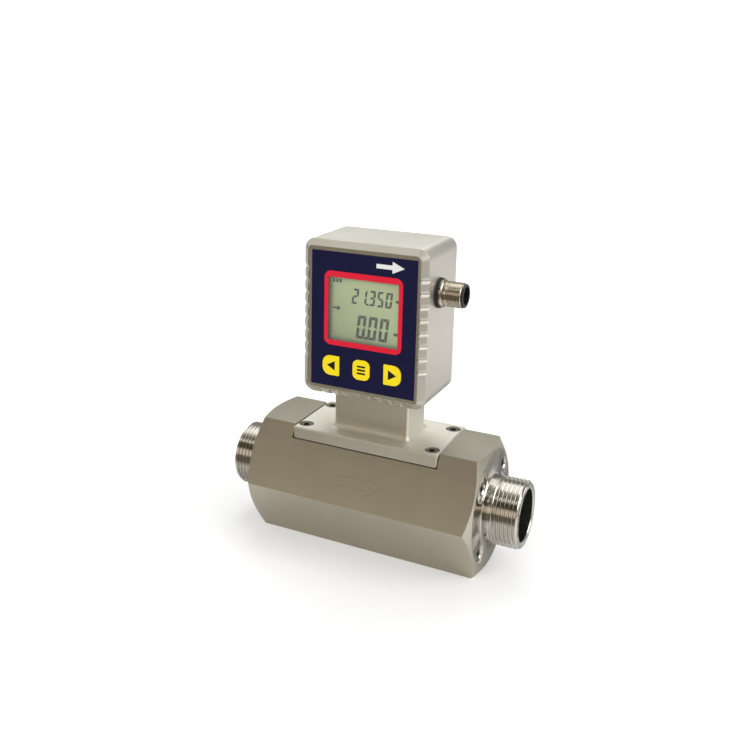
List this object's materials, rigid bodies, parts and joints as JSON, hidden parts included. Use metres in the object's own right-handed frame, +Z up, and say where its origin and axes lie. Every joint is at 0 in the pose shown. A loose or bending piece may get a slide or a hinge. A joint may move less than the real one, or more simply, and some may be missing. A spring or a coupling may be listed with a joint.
{
  "type": "flow sensor",
  "caption": "In-line gas flow sensor: hexagonal steel body with threaded pipe ends, and a display head with film keys and a round plug on a short neck.",
  "frame": {"origin": "middle of the bottom flat of the hexagonal body, under the middle of the pipe axis", "axes": "+X along the pipe axis with the gas flow, from inlet to outlet; +Y from the display towards the back; +Z up, from the pipe to the head"},
  "size_m": [0.1536, 0.0692, 0.158],
  "materials": {
    "machined_steel": "milled stainless steel with fine lines along the pipe",
    "turned_steel": "bright turned stainless steel",
    "satin_steel": "bead-blasted stainless steel",
    "screw_steel": "plain stainless steel",
    "head_metal": "satin silver-champagne coating",
    "honeycomb_metal": "bare, slightly dull",
    "seal_rubber": "matt black",
    "label_film": "printed film, fine matt texture",
    "window_clear": "clear, glossy",
    "lcd_glass": "grey-green liquid crystal display",
    "light_guide": "milky light guide",
    "black_plastic": "black moulded plastic",
    "circuit_board": "green solder mask",
    "chip_ceramic": "thin-film sensor on ceramic",
    "ribbon_plastic": "grey ribbon",
    "nickel_brass": "nickel-plated brass",
    "gold_contacts": "gold-plated pins",
    "lead_insulation": "insulated leads"
  },
  "bodies": {
    "root": {"flow_body": "machined_steel", "inlet_connector": "turned_steel", "outlet_connector": "turned_steel", "inlet_connector_screws": "screw_steel", "outlet_connector_screws": "screw_steel", "inlet_seal": "seal_rubber", "outlet_seal": "seal_rubber", "flow_straightener": "honeycomb_metal", "sensor_base": "satin_steel", "base_screws": "screw_steel", "base_gasket": "seal_rubber", "sensor_probe": "turned_steel", "sensor_chip": "chip_ceramic", "probe_seal": "seal_rubber", "probe_board": "circuit_board", "probe_header": "black_plastic", "sensor_ribbon": "ribbon_plastic", "neck_gasket": "seal_rubber", "neck_screws": "screw_steel", "head_housing": "head_metal", "label_overlay": "label_film", "display_window": "window_clear", "lcd_panel": "lcd_glass", "lcd_backlight": "light_guide", "lcd_frame": "black_plastic", "main_board": "circuit_board", "board_screws": "screw_steel", "key_switches": "black_plastic", "processor_chip": "black_plastic", "ribbon_header": "black_plastic", "leads_header": "black_plastic", "connector_washer": "seal_rubber", "connector_shell": "nickel_brass", "connector_insert": "black_plastic", "connector_pins": "gold_contacts", "connector_nut": "nickel_brass", "connector_leads": "lead_insulation", "rear_gasket": "seal_rubber", "rear_cover": "head_metal", "rear_cover_screws": "screw_steel"}
  },
  "joints": []
}
